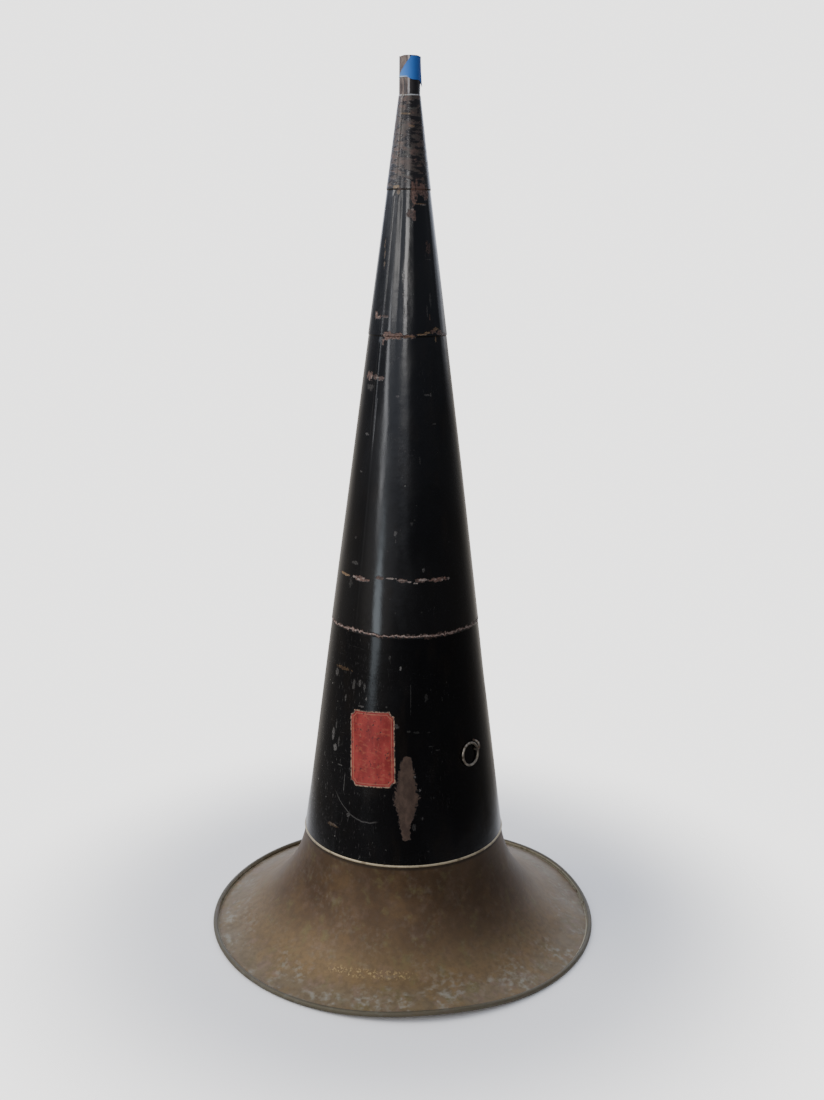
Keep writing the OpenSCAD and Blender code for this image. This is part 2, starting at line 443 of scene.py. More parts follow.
# Pale flakes, where the japan has lifted off the tin
PALE_MARKS = [
    (-47, 338.6, 2.4, 0.9, 0.8), (-42, 337.6, 1.6, 0.9, 0.9), (-37, 339.2, 1.6, 0.8, 0.7),
    (-12, 341.7, 4.8, 0.75, 0.85), (-3, 340.6, 3.6, 0.7, 0.6), (3, 339.3, 1.9, 0.7, 0.8),
    (8, 337.9, 1.7, 0.8, 0.85), (15, 340.7, 4.6, 0.9, 0.8), (25, 340.4, 1.2, 0.9, 0.5),
    (32, 339.2, 1.2, 1.2, 0.55), (38, 339.6, 1.3, 1.3, 0.5), (-53, 507.5, 1.4, 1.2, 0.6),
    (-41, 507.4, 1.8, 0.8, 0.5), (-57, 559.5, 1, 1, 0.7), (-50, 557.2, 1.6, 0.7, 0.6),
    (36, 647.4, 3.4, 0.6, 0.4), (8, 643.6, 1.8, 0.8, 0.4), (-34, 542, 2.2, 1, 0.4),
]
# Scuffs and chips, mostly low on the left and round the label
SCUFFS = [
    (-57, 252, 2.4, 3.4, 0.55), (-44.5, 233, 0.9, 3, 0.5), (-53.5, 198, 2, 5, 0.75),
    (-50, 187, 2.2, 2.8, 0.9), (-47, 193, 1.2, 4.5, 0.4), (-51, 207, 0.9, 5, 0.4),
    (-38, 247, 1.6, 4.6, 0.45), (-33, 249, 1.4, 3.2, 0.5), (-29, 246, 1, 4.4, 0.45),
    (-27, 236.5, 0.8, 1.8, 1), (-31, 229.5, 3, 0.9, 0.6), (-2.9, 265.6, 1, 1.7, 0.9),
    (-11, 274, 1, 2.4, 0.3), (4.2, 240, 0.35, 14, 0.22), (-5.2, 216, 2.2, 2.2, 0.45),
    (3, 211.5, 1.4, 0.9, 0.25), (8, 210.5, 2.6, 1, 0.15), (16, 209.8, 1.6, 0.5, 0.18),
    (17.5, 197.5, 2, 0.5, 0.22), (21.5, 193.6, 2, 0.5, 0.25), (15, 240, 1.6, 4.2, 0.18),
    (6.8, 172, 0.9, 1.2, 0.7), (9.6, 160, 0.9, 1.3, 0.7), (-44, 173.6, 3.6, 0.5, 0.55),
    (-39, 160, 0.5, 9, 0.45), (-34, 132, 2, 1.6, 0.5), (-45, 119, 5, 0.8, 0.35),
    (6, 128, 1.6, 3, 0.25), (11, 135, 0.8, 1.6, 0.3), (-48, 350.5, 4, 1.6, 0.35),
    (-51, 333, 2.4, 4.4, 0.22), (-9, 380, 1.5, 2.3, 0.5), (-9, 374, 0.4, 3, 0.35),
    (15, 349, 1, 2.1, 0.55), (-51, 372, 1.4, 1.6, 0.3), (-1.5, 419.6, 1, 0.8, 0.7),
    (5, 388, 1.2, 1.6, 0.2), (-53, 499, 4.4, 2.6, 0.35), (25, 494, 3.4, 0.8, 0.4),
    (30, 494, 0.8, 1.6, 0.5), (33, 470, 2, 0.7, 0.4), (-50, 460, 2.4, 1.2, 0.5),
    (-53, 428, 1.8, 0.9, 0.4), (-11, 493, 1.4, 0.7, 0.4), (14, 440, 0.8, 3, 0.15),
    (31, 562, 0.6, 4, 0.3), (38, 571, 1, 7, 0.22), (40, 604, 3, 0.6, 0.3),
    (-8, 590, 0.9, 5, 0.6), (-5, 561, 0.5, 5, 0.8), (-7, 575, 0.7, 2.2, 0.5),
    (140, 200, 4, 12, 0.5), (-150, 260, 2, 20, 0.4), (110, 420, 1.5, 14, 0.4),
    (165, 230, 6, 3, 0.4), (-125, 170, 3, 5, 0.5), (95, 150, 2, 8, 0.4),
]


def on_section(marks, section):
    """The marks that lie on a section or run over its ends."""
    low, high = section.low_z / MM, section.high_z / MM
    return [mark for mark in marks if low - 3 < mark[1] + mark[3] and mark[1] - mark[3] < high + 3]


def lap_crack(p):
    """The jagged pale crack round the lower lap, and the brown rust along both its sides."""
    jag = (p.noise(3.4, 3, shift=3) - 0.5) * 7.5 + (p.noise(15, 2, shift=6) - 0.5) * 5.0
    gap = abs(p.z + jag - 293.2)
    fray = (p.noise(1.3, 3, shift=9) - 0.5) * 0.8
    worn = p.noise(6, 3, shift=2).rise(0.3, 0.46) * 0.5 + 0.5 - p.turn.rise(5, 45) * 0.3
    return (gap + fray).rise(1.9, 0.8), (gap + fray).rise(0.78, 0.36) * worn


def bare_patch(p):
    """The spindle of bare brown metal low on the front, with flaked edges."""
    reach = (p.z - 156).rise(-44, 0).power(1.7) * (p.z - 156).rise(34, 0).power(0.85)
    bulge = (abs(p.z - 154.5) * (1 / 4.5)).rise(1.0, 0.0) * p.turn.rise(2, 8) * 2.6
    half = reach * 5.4 + bulge + 3.7
    drift = (p.noise(13, 2) - 0.5) * 6
    edge = abs(p.arc(1.4) + drift) / half
    chipped = (p.noise(1.7) - 0.5) * 1.3
    ends = p.z.rise(114.5, 117.5) * p.z.rise(192.5, 188.5)
    return (edge + chipped + (1 - ends) * 2.5).rise(1.12, 0.92)


def scratches(p, section, ragged):
    """Fine scratches down the sheet, and the scuffs that were placed one by one."""
    patches = p.noise(46, 3, shift=9).rise(0.5, 0.68)
    low_left = p.turn.rise(0, -38) * p.z.rise(330, 240)
    fine = p.noise(0.8, 4, (1, 1, 34)).rise(0.62, 0.74) * (patches * 0.22 + low_left * 0.55)
    crossing = p.noise(1.0, 3, (9, 9, 0.5), 21).rise(0.66, 0.76) * (patches * 0.2 + low_left * 0.3)
    chips = p.specks(5.5, 0.2, 0.9) * (0.12 + low_left * 0.75)
    marks = fine.most(crossing).most(chips)
    if section is LOWER:
        curve = p.z - 129.5 - (p.turn + 22) * (p.turn + 22) * 0.036
        hook = abs(curve + (p.noise(5, 3) - 0.5) * 1.6).rise(0.75, 0.3) * p.between(-45, -16, 2)
        marks = marks.most(hook * 0.35)
    placed = p.dabs(on_section(SCUFFS, section), ragged)
    broken = p.noise(0.9, 3, shift=14).rise(0.36, 0.58)
    return marks.most(placed * (broken * 0.65 + 0.35))


def black_japan(section, name, gloss):
    """Glossy black japan over one tin section, with its rust, cracks, scuffs and dull patches."""
    p = Paint("black_japan_" + name)
    ragged = (p.noise(2.4, shift=11) - 0.5) * 4.4
    grain = p.noise(1.3, shift=3).rise(0.36, 0.66)
    marks = scratches(p, section, ragged)
    brown = p.noise(17, 4, (1, 1, 2.5), 13).rise(0.5, 0.74)
    rust = p.dabs(on_section(RUST_MARKS, section), ragged)
    gold = p.dabs(on_section(GOLD_MARKS, section), ragged)
    color = p.coats(
        BLACK,
        (brown * 0.6, BROWN_BLACK),
        (marks * 0.85, SCUFF),
        (rust, p.mix(grain, DARK_RUST, PINK_RUST)),
        (gold, p.mix(grain, RUST, GOLD_RUST)),
    )
    broken = rust.most(gold)
    if section in (LOWER, MIDDLE):
        rim, crack = lap_crack(p)
        cracked = p.mix(grain, PALE_EDGE, PINK_RUST)
        color = p.coats(color, (rim * 0.8, DARK_RUST), (crack, cracked))
        broken = broken.most(rim)
    if section is LOWER:
        bare = bare_patch(p)
        worn = p.noise(4.5, 4, (1, 1, 2)).rise(0.35, 0.7)
        color = p.mix(bare, color, p.mix(worn, BARE_TIN, RUBBED_TIN))
        broken = broken.most(bare)
    else:
        pale = p.dabs(on_section(PALE_MARKS, section), ragged)
        color = p.mix(pale * (grain * 0.5 + 0.5), color, PALE_EDGE)
        broken = broken.most(pale)
    dull = p.noise(30, 4, (1, 1, 2.2), 5).rise(0.38, 0.66)
    rough = 0.15 + dull * 0.1 + marks * 0.25 + broken * 0.45
    flaked = broken * -1.0 + grain * broken * 0.5
    buckled, pitted = p.noise(11, 2, shift=8), p.noise(2.2, 3)
    normal = p.relief((buckled, 0.1), (pitted, 0.02), (flaked, 0.14), (marks, -0.04))
    return p.finish(color, rough, normal, specular=gloss)


def worn_japan():
    """The throat: japan rubbed through to brown tin, with black left in patches and bands."""
    p = Paint("worn_japan")
    patchy = p.noise(6.5, 5, (1.2, 1.2, 0.55), 2) - p.turn.rise(-20, 55) * 0.03
    upper = (abs(p.z - 727) * (1 / 3.6)).rise(1.2, 0.3)
    lower = (abs(p.z - 714.5) * (1 / 3.2)).rise(1.2, 0.3)
    bands = upper.most(lower) * p.turn.rise(-42, -24)
    foot = p.z.rise(684, 664) * 0.1
    black = (patchy - bands * 0.12 - foot).rise(0.52, 0.4)
    pink = p.noise(5, 4, (1.2, 1.2, 0.6), 11).rise(0.48, 0.66)
    grey = p.noise(7, 3, (1.2, 1.2, 0.5), 23).rise(0.55, 0.68)
    ragged = (p.noise(2.2, shift=5) - 0.5) * 4.4
    rust = p.dabs(on_section(RUST_MARKS, THROAT), ragged)
    color = p.coats(
        (0.046, 0.034, 0.027),
        (pink, (0.088, 0.052, 0.04)),
        (grey * 0.7, (0.036, 0.04, 0.034)),
        # Painted shade: the throat darker towards the right, away from the lamps.
        (p.turn.rise(0, 45) * 0.4, (0.028, 0.02, 0.014)),
        (black * 0.9, (0.005, 0.0042, 0.0052)),
        (p.dabs(THROAT_GOLD, ragged), (0.15, 0.098, 0.048)),
        (rust * 0.8, PINK_RUST),
    )
    rough = 0.36 - black * 0.17 + pink * 0.06
    normal = p.relief((p.noise(1.1), 0.05), (black, 0.05))
    return p.finish(color, rough, normal, metallic=0.15)


def worn_tin():
    """The mouth tube: brown-grey tin, black streaks of old paint and one pale line, a painted
    highlight.
    """
    p = Paint("worn_tin")
    streak = p.noise(0.9, 3, (1, 1, 14), 6).rise(0.48, 0.56)
    blotch = p.noise(3.5, 4, (1, 1, 2), 1).rise(0.42, 0.65)
    edge = p.arc(0.5) + (p.noise(2.2, 3, shift=15) - 0.5) * 1.6
    # Painted highlight: a pale line down the tube's front, a little to the left.
    middle = p.arc(-6) + (p.noise(5, 2) - 0.5) * 0.8
    painted_highlight_line = abs(middle).rise(0.95, 0.55) * p.z.rise(733, 736)
    color = p.coats(
        (0.095, 0.068, 0.058),
        (blotch, (0.175, 0.135, 0.115)),
        (streak * p.z.rise(749, 744) * 0.8, (0.014, 0.013, 0.016)),
        (edge.rise(-0.2, 0.3) * 0.93, (0.01, 0.009, 0.011)),
        (painted_highlight_line * 0.85, (0.4, 0.385, 0.385)),
    )
    normal = p.relief((p.noise(1.0, 4, (1, 1, 3)), 0.05))
    return p.finish(color, 0.4 + blotch * 0.15, normal, metallic=0.25)


def bare_inside():
    """The unpainted inside of the tin sections: dull grey tin with brown stains."""
    p = Paint("bare_inside")
    stain = p.noise(22, 4, (1, 1, 2)).rise(0.42, 0.68)
    spots = p.noise(2.4, shift=8).rise(0.54, 0.68)
    stained = (stain, (0.115, 0.08, 0.058))
    color = p.coats((0.2, 0.19, 0.175), stained, (spots * 0.8, (0.1, 0.042, 0.02)))
    rough = 0.42 + stain * 0.15 + spots * 0.2
    return p.finish(color, rough, p.relief((p.noise(1.5), 0.05)), metallic=0.6)


def aged_brass():
    """The bell: brown aged brass with spinning lines, stains and verdigris by the rim."""
    p = Paint("aged_brass")
    rim = p.radius.rise(128, 166)
    clouds = p.noise(36, 3, shift=2).rise(0.36, 0.66)
    ochre = p.noise(17, shift=17).rise(0.5, 0.68) * (rim * 0.6 + 0.4)
    olive = p.noise(13, shift=37).rise(0.54, 0.7)
    mauve = p.noise(12, shift=47).rise(0.52, 0.68) * (rim * 0.5 + 0.3)
    mottle = p.noise(5.0, shift=51).rise(0.35, 0.72)
    wisp = p.spun(5.5, 6.0, 6, 31).rise(0.44, 0.72) * p.noise(24, shift=23).rise(0.42, 0.62)
    green = wisp * (rim * 0.85 + 0.15)
    strokes = p.spun(2.2, 3.0, 4, 66).rise(0.5, 0.66) * p.between(-26, 3, 5)
    strokes = strokes * abs(p.radius - 138).rise(5.0, 1.0)
    # Painted shade: the bell's colour darker to the right and in towards the neck, where less light
    # falls.
    painted_side_shade = p.turn.rise(0, 35) * p.turn.rise(80, 60) * p.radius.rise(165, 95)
    # Painted shadow on the bell just under the bead.
    painted_bead_shadow = p.z.rise(88.5, 90.8)
    # Painted highlight: a pale line round the inner edge of the rolled rim, stronger to the right.
    edge = p.radius.rise(174.0, 173.4) * p.radius.rise(172.0, 172.7)
    edge = edge * p.noise(5, 3).rise(0.28, 0.46) * (p.turn.rise(-60, 20) * 0.5 + 0.5)
    roll = p.radius.rise(173.6, 174.4)
    color = p.coats(
        (0.05, 0.0275, 0.0125),
        (clouds, (0.072, 0.042, 0.02)),
        (p.radius.rise(102, 140) * 0.85, (0.122, 0.079, 0.035)),
        (p.radius.rise(142, 160) * 0.6, (0.118, 0.092, 0.056)),
        (ochre * 0.35, (0.16, 0.094, 0.032)),
        (olive * 0.5, (0.1, 0.082, 0.032)),
        (mauve * 0.45, (0.15, 0.096, 0.075)),
        (mottle * 0.32, (0.042, 0.029, 0.017)),
        (green * 0.66, (0.22, 0.212, 0.175)),
        (strokes * 0.6, (0.3, 0.21, 0.085)),
        # Painted shade on the right of the bell, towards the neck.
        (painted_side_shade * 0.45, (0.03, 0.02, 0.012)),
        (p.specks(6.0, 0.16, 0.7, 5) * 0.6, (0.026, 0.018, 0.011)),
        # Painted shadow under the bead.
        (painted_bead_shadow * 0.75, (0.022, 0.015, 0.009)),
        # Painted highlight along the rim's inner edge.
        (edge * 0.9, (0.36, 0.33, 0.24)),
        (roll * 0.7, (0.05, 0.048, 0.034)),
    )
    lines = p.lathed(1.3)
    rough = 0.47 + clouds * 0.06 + green * 0.2 + (lines - 0.5) * 0.1 - strokes * 0.08
    normal = p.relief((lines, 0.045), (p.noise(2.0), 0.045), (green, 0.05))
    return p.finish(color, rough, normal, metallic=0.3, specular=0.2)


def bell_inside():
    """The inside of the bell: darker, duller brass, with dirt and spinning lines."""
    p = Paint("bell_inside")
    clouds = p.noise(30, shift=60).rise(0.35, 0.7)
    spots = p.noise(5, shift=71).rise(0.56, 0.7)
    dirty = (clouds, (0.115, 0.084, 0.052))
    color = p.coats((0.2, 0.148, 0.08), dirty, (spots * 0.6, (0.2, 0.22, 0.17)))
    rough = 0.42 + clouds * 0.12 + spots * 0.1
    return p.finish(color, rough, p.relief((p.lathed(0.9), 0.06)), metallic=0.7)


def bright_brass():
    """The bead: pale rubbed brass with dark tarnish in places, and painted shade on its underside.
    """
    p = Paint("bright_brass")
    tarnish = p.noise(7, shift=3).rise(0.52, 0.68)
    # Painted shade on the lower side of the bead.
    painted_underside_shade = p.z.rise(92.9, 92.3)
    tarnished = (tarnish * 0.7, (0.12, 0.088, 0.05))
    color = p.coats((0.3, 0.245, 0.155), tarnished, (painted_underside_shade * 0.85, (0.04, 0.028, 0.016)))
    normal = p.relief((p.noise(1.4, 3), 0.04))
    return p.finish(color, 0.34 + tarnish * 0.18, normal, metallic=0.45)


def iron_wire():
    """Dull iron wire with brown rust in patches."""
    p = Paint("iron_wire")
    rust = p.noise(2.2).rise(0.46, 0.62)
    color = p.mix(rust, (0.15, 0.13, 0.108), (0.075, 0.04, 0.022))
    return p.finish(color, 0.38 + rust * 0.3, p.relief((p.noise(0.6, 3), 0.05)), metallic=0.7)


def ring_wire():
    """The ring's wire: rubbed pale metal with tarnish between."""
    p = Paint("ring_wire")
    dark = p.noise(2.4, shift=12).rise(0.48, 0.64)
    color = p.mix(dark, (0.235, 0.205, 0.165), (0.075, 0.055, 0.038))
    normal = p.relief((p.noise(0.5, 3, shift=4), 0.04))
    return p.finish(color, 0.3 + dark * 0.22, normal, metallic=0.8)


def solder():
    """Dull grey solder with dark flux stains."""
    p = Paint("solder")
    stain = p.noise(2.6).rise(0.45, 0.66)
    color = p.mix(stain, (0.33, 0.325, 0.31), (0.13, 0.115, 0.1))
    return p.finish(color, 0.36 + stain * 0.22, p.relief((p.noise(1.3, 3), 0.12)), metallic=0.75)


# How far the label leans to the left, across for each step up, and its notches' radius in mm
LABEL_LEAN, NOTCH = 0.07, 4.0


def label_film(middle_turn, middle_z, half_w, half_h):
    """A worn red transfer with a pale border and a plain pale keyline."""
    p = Paint("label_film")
    across, up = p.arc(middle_turn), p.z - middle_z
    corner_x = half_w - abs(across + up * LABEL_LEAN)
    corner_z = half_h - abs(up - across * LABEL_LEAN)
    corner = (corner_x * corner_x + corner_z * corner_z).power(0.5) - NOTCH
    inset = corner_x.least(corner_z).least(corner)
    fade = p.noise(8, 4, (1, 1, 2)).rise(0.35, 0.68)
    rubbed = p.noise(5, 4, (1, 1, 0.5), 41).rise(0.52, 0.66)
    flaked = p.noise(1.6, 4, (1, 1, 1.4), 19).rise(0.635, 0.665)
    flaked = flaked.most(p.noise(2.3, shift=27).rise(0.49, 0.52) * inset.rise(1.3, 0.2))
    crazed = p.noise(0.8, 3, (1, 1, 10), 33).rise(0.62, 0.7)
    color = p.coats(
        (0.165, 0.015, 0.013),
        (fade, (0.255, 0.03, 0.024)),
        (rubbed * 0.4, (0.3, 0.085, 0.045)),
        (abs(inset - 2.7).rise(0.42, 0.16) * 0.55, (0.34, 0.165, 0.1)),
        (inset.rise(1.15, 0.75) * 0.8, (0.26, 0.185, 0.125)),
        (crazed * 0.25, (0.46, 0.19, 0.12)),
        (flaked * 0.92, (0.01, 0.007, 0.008)),
    )
    rough = 0.38 + fade * 0.1 + flaked * 0.1
    return p.finish(color, rough, p.relief((crazed * -0.4 - flaked, 0.05)), specular=0.3)


def blue_tape():
    """Painter's tape: blue crepe paper, with a painted highlight along its frayed lower edge on the
    left.
    """
    p = Paint("blue_tape")
    crepe = p.noise(0.45, 2, (1, 1, 5), 3)
    frayed = p.z + (p.noise(3, 3) - 0.5) * 1.0
    # Painted highlight along the frayed lower edge on the left.
    edge = frayed.rise(748.6, 747.6) * p.turn.rise(-4, -26)
    color = p.coats(
        (0.022, 0.165, 0.56),
        # Painted shade: the tape darker blue towards the right.
        (p.turn.rise(-10, 60), (0.01, 0.08, 0.33)),
        # Painted sheen: the tape greyer towards the far left.
        (p.turn.rise(-22, -62) * 0.55, (0.085, 0.2, 0.36)),
        # Painted highlight on the lower edge.
        (edge * 0.8, (0.42, 0.5, 0.54)),
    )
    return p.finish(color, 0.5 + crepe * 0.2, p.relief((crepe, 0.08)))


def pale_floor():
    """A plain pale studio floor that fades out into the room some way from the horn."""
    p = Paint("pale_floor")
    color = p.mix(p.noise(260, 2), (0.8, 0.785, 0.76), (0.84, 0.825, 0.8))
    rough = p.noise(40, 2) * 0.1 + 0.75
    return p.finish(color, rough, specular=0.2, alpha=p.radius.rise(440, 205))


# ---- The pieces ----

# Section through the folded side seam: (offset from its middle in mm, share of its height)
SEAM = [
    (-2.15, 0), (-1.9, 0.4), (-1.4, 0.8), (-0.7, 0.97), (0, 1),
    (0.7, 0.94), (1.25, 0.74), (1.7, 0.38), (1.95, 0),
]


def section_angles(section, height, radius, columns):
    """Angles round a section at a height: the seam's own first, then evenly the rest."""
    seam = section.seam_turn + np.array([offset for offset, _ in SEAM]) * MM / radius
    rest = np.linspace(seam[-1], seam[0] + TURN, columns + 2)[1:-1]
    return np.concatenate([seam, rest])


def tin_section(section, outside, inside, columns=300, pitch=2.4):
    """One rolled, seamed and lapped section of the horn."""
    low, high, corner = section.low_z, section.high_z, 0.15 * MM
    inner = np.linspace(low + corner, high - corner, int((high - low) / (pitch * MM)))
    # Rows close to both ends keep its edges crisp.
    heights = np.concatenate([[low], inner, [high]])
    raised = np.concatenate([[share for _, share in SEAM], np.zeros(columns)])
    rows = []
    for height in heights:
        radius = section.radius(height)
        angles = section_angles(section, height, radius, columns)
        worked_flat = 0.12 + 0.88 * smooth(height / MM, 420, 520)
        closed = 1 - smooth(height, section.seam_top - MM, section.seam_top)
        fold = section.seam_h * raised * closed * worked_flat
        edge = corner if height in (low, high) else 0.0
        rows.append(on_tin(angles, height, radius + fold - edge))
    for height in heights[::-1][:: max(1, int(6 / pitch))]:
        radius = section.radius(height) - section.sheet
        rows.append(on_tin(section_angles(section, height, radius, columns), height, radius))
    skin = [0] * len(heights) + [1] * (len(rows) - len(heights))
    thing = loops(section.node + "_tin", rows, [outside, inside], skin)
    finish(thing, section.node)


def lap_fillet(node, above, below, material, columns=300):
    """The fillet of solder under a section's lower edge, painted over with it."""
    low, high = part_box(node)
    angle = circle(columns)
    rows = [
        on_tin(angle, low.z, below.radius(low.z)),
        on_tin(angle, (low.z + high.z) / 2, (below.radius(low.z) + above.low_r) / 2 - 0.05 * MM),
        on_tin(angle, high.z, above.low_r - 0.02 * MM),
        on_tin(angle, high.z, below.radius(high.z)),
    ]
    finish(loops(node + "_band", rows, [material]), node)


class Bell:
    """The bell's shape: a neck, one arc and a rolled rim, all read from its CAD nodes."""

    # Directions in degrees: where the flare meets the roll, and where the curl starts and ends
    FLARE_END, CURL_START, CURL_END = 78.1, 258.1, 568.0

    def __init__(self):
        low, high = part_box("bell")
        wire_low, wire_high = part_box("rim_wire")
        bore_r, self.neck_r = level("bell", high.z)
        self.neck_z, self.sheet = high.z, self.neck_r - bore_r
        self.roll = np.array([mount("bell_rim")["pos_m"][0], (wire_low.z + wire_high.z) / 2])
        self.wire_r = (wire_high.z - wire_low.z) / 2
        self.bead_low, self.bead_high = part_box("bell_bead")
        taper = (LOWER.low_r - LOWER.high_r) / (LOWER.high_z - LOWER.low_z)
        flare_z = self.bead_low.z
        self.bead_r = (self.bead_high.z - flare_z) / 2
        top_r = self.neck_r + (self.neck_z - flare_z) * taper
        self.top = np.array([top_r - self.sheet / 2, flare_z])
        self.curl_r = high.x - self.roll[0] - self.sheet / 2
        self.end = math.radians(self.FLARE_END)
        foot = self.roll - self.curl_r * ray(self.end)
        span = foot - self.top
        self.start = 2 * math.atan2(span[0], -span[1]) - self.end
        self.arc_r = np.hypot(*span) / (2 * math.sin((self.end - self.start) / 2))
        self.middle = self.top + self.arc_r * ray(self.start)

    def flare(self, offset, count):
        """Points down the flare, offset from the sheet's middle towards the outside."""
        slope = np.linspace(self.start, self.end, count)
        return self.middle - (self.arc_r - offset) * ray(slope)

    def curl(self, radius, count):
        """Points round the rolled rim, from the flare's foot out, over and back in."""
        angle = np.radians(np.linspace(self.CURL_START, self.CURL_END, count))
        return self.roll + radius * ray(angle)


BELL = Bell()
# Waves in the bell: (bumps round, size in mm, phase)
BELL_WAVES = [(2, 0.55, 0.9), (3, 0.4, 2.7), (5, 0.3, 4.4), (8, 0.16, 1.1), (13, 0.07, 3.0)]
# Where the rim is bent up off the floor: (turn, lift in mm, half width in degrees)
LIFTS = [(9, 4.9, 25), (122, 4.4, 24)]
# Knocks in the bell: (turn, radius, depth, half width, half length), in mm
KNOCKS = [
    (-28, 150, 0.9, 12, 9), (35, 160, 0.8, 9, 7), (8, 138, 0.5, 16, 10), (70, 150, 0.9, 14, 9),
    (-75, 160, 1.0, 10, 8), (150, 155, 1.2, 14, 9), (-140, 145, 1.0, 16, 12),
]


def bell_loop(angle, radius, height):
    """One loop of the bell at a radius and height, out of true like the real one."""
    share = smooth(radius, BELL.top[0], BELL.roll[0])
    wave = sum(size * MM * np.cos(n * angle + phase) for n, size, phase in BELL_WAVES)
    sag = (1 - smooth(radius, 160 * MM, 176 * MM)) * share * wave
    for turn, at, depth, wide, long in KNOCKS:
        across = turned(angle, turn) * at / wide
        sag = sag - depth * MM * np.exp(-(across**2) - ((radius / MM - at) / long) ** 2)
    bent = smooth(radius, 120 * MM, 176 * MM)
    lift = sum(
        size * MM * bent * np.exp(-((np.degrees(turned(angle, turn)) / wide) ** 2))
        for turn, size, wide in LIFTS
    )
    return around(angle, np.maximum(height + sag + lift, 0.0), radius + 0.35 * share * wave)


def bell(outside, inside, columns=360):
    """The spun bell with its rolled rim, which is wrapped round a wire."""
    angle = circle(columns)
    neck = np.array([[BELL.neck_r, BELL.neck_z]])
    half = BELL.sheet / 2
    upper = np.concatenate([neck, BELL.flare(half, 44), BELL.curl(BELL.curl_r - half, 22)[1:]])
    under = np.concatenate([neck - [BELL.sheet, 0], BELL.flare(-half, 30)])
    curl = BELL.curl(BELL.curl_r + half, 34)[1:]
    profile = np.concatenate([upper[::-1], under, curl])
    rows = [bell_loop(angle, radius, height) for radius, height in profile]
    skin = [0] * len(upper) + [1] * len(under) + [0] * len(curl)
    finish(loops("bell_brass", rows, [outside, inside], skin), "bell")


def rim_wire(material, columns=360):
    """The iron wire inside the rolled rim."""
    angle = circle(columns)
    turn = circle(12)
    section = BELL.roll + BELL.wire_r * np.stack([np.sin(turn), -np.cos(turn)], -1)
    rows = [bell_loop(angle, radius, height) for radius, height in section]
    finish(loops("rim_wire_ring", rows, [material]), "rim_wire")


def bead(material, columns=360):
    """The half-round bead between the bell and the tin, slightly uneven."""
    angle = circle(columns)
    uneven = 1 + 0.05 * np.cos(11 * angle) + 0.04 * np.cos(29 * angle + 1)
    middle_r = BELL.bead_high.x - BELL.bead_r
    middle_z = (BELL.bead_low.z + BELL.bead_high.z) / 2
    rows = []
    for slope in np.linspace(-math.pi / 2, math.pi / 2, 13):
        out = BELL.bead_r * math.cos(slope) * uneven
        rows.append(around(angle, middle_z + BELL.bead_r * math.sin(slope), middle_r + out))
    back = [around(angle, middle_z + side * BELL.bead_r, middle_r - 0.2 * MM) for side in (1, -1)]
    thing = loops("bead_ring", rows + back, [material])
    finish(thing, "bell_bead")


def mouth_tube(material, columns=120):
    """The parallel tube at the small end, with a bruised top edge."""
    low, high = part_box("mouth_tube")
    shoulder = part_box("mouth_tube_solder")[1].z
    angle = circle(columns)
    bore_r, foot_r = level("mouth_tube", low.z)
    oval = 0.07 * MM * np.cos(2 * angle + 0.6) + 0.03 * MM * np.cos(5 * angle)
    outer = [(low.z, foot_r), (shoulder - 0.1 * MM, foot_r), (shoulder, high.x)]
    outer += [(z, high.x) for z in np.linspace(shoulder + MM, high.z - 0.25 * MM, 26)]
    outer += [(high.z, high.x - 0.2 * MM), (high.z, bore_r + 0.15 * MM)]
    inner = [(z, bore_r) for z in np.linspace(high.z - 0.15 * MM, low.z, 16)]
    nick = 0.5 * MM * np.exp(-((turned(angle, -62) / 0.3) ** 2))
    nick = nick + 0.35 * MM * np.exp(-((turned(angle, 70) / 0.25) ** 2))
    rows = []
    for height, radius in outer + inner:
        near_top = smooth(height, high.z - 3 * MM, high.z)
        dent = 0.25 * MM * np.exp(-((turned(angle, 30) / 0.5) ** 2)) * near_top
        rows.append(around(angle, height - nick * near_top, radius + oval - dent))
    finish(loops("mouth_tube_tin", rows, [material]), "mouth_tube")


def tube_fillet(material, columns=120):
    """The uneven fillet of solder where the tube enters the throat."""
    low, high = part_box("mouth_tube_solder")
    foot_r, tube_r = level("mouth_tube_solder", high.z)
    angle = circle(columns)
    uneven = 0.16 * MM * np.cos(3 * angle + 1) + 0.12 * MM * np.cos(8 * angle)
    rows = [
        around(angle, low.z, foot_r),
        around(angle, low.z, high.x),
        around(angle, low.z + 0.35 * MM, high.x - 0.05 * MM),
        around(angle, low.z + 0.7 * MM, (high.x + tube_r) / 2 + 0.08 * MM),
        around(angle, high.z + uneven, tube_r + 0.1 * MM),
        around(angle, high.z + uneven, foot_r),
    ]
    finish(loops("tube_fillet", rows, [material]), "mouth_tube_solder")


def label(columns=40, count=60):
    """The red transfer, a thin film that follows the tin, with a notch at each corner."""
    low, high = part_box("label")
    points = vertices("label")
    middle_z, half_h = (low.z + high.z) / 2, (high.z - low.z) / 2
    facing = np.arctan2(points[:, 1], points[:, 0])
    middle = (facing.min() + facing.max()) / 2
    radius = LOWER.radius(middle_z)
    half_w = (facing.max() - facing.min()) / 2 * radius
    notch, film, gap = NOTCH * MM, 0.15 * MM, 0.03 * MM
    heights = middle_z + np.linspace(-half_h, half_h, count)
    past = np.clip(half_h - np.abs(heights - middle_z), 0, notch)
    half = half_w - np.sqrt(notch**2 - past**2)
    across = np.linspace(-1, 1, columns)[None, :] * half[:, None]
    tall = heights[:, None] + LABEL_LEAN * across
    at = LOWER.radius(tall)
    angle = middle + (across - LABEL_LEAN * (heights[:, None] - middle_z)) / at
    skin = label_film(math.degrees(middle) - FRONT, middle_z / MM, half_w / MM, half_h / MM)
    outer, inner = on_tin(angle, tall, at + gap + film), on_tin(angle, tall, at + gap)
    finish(slab("label_transfer", outer, inner, [skin]), "label")


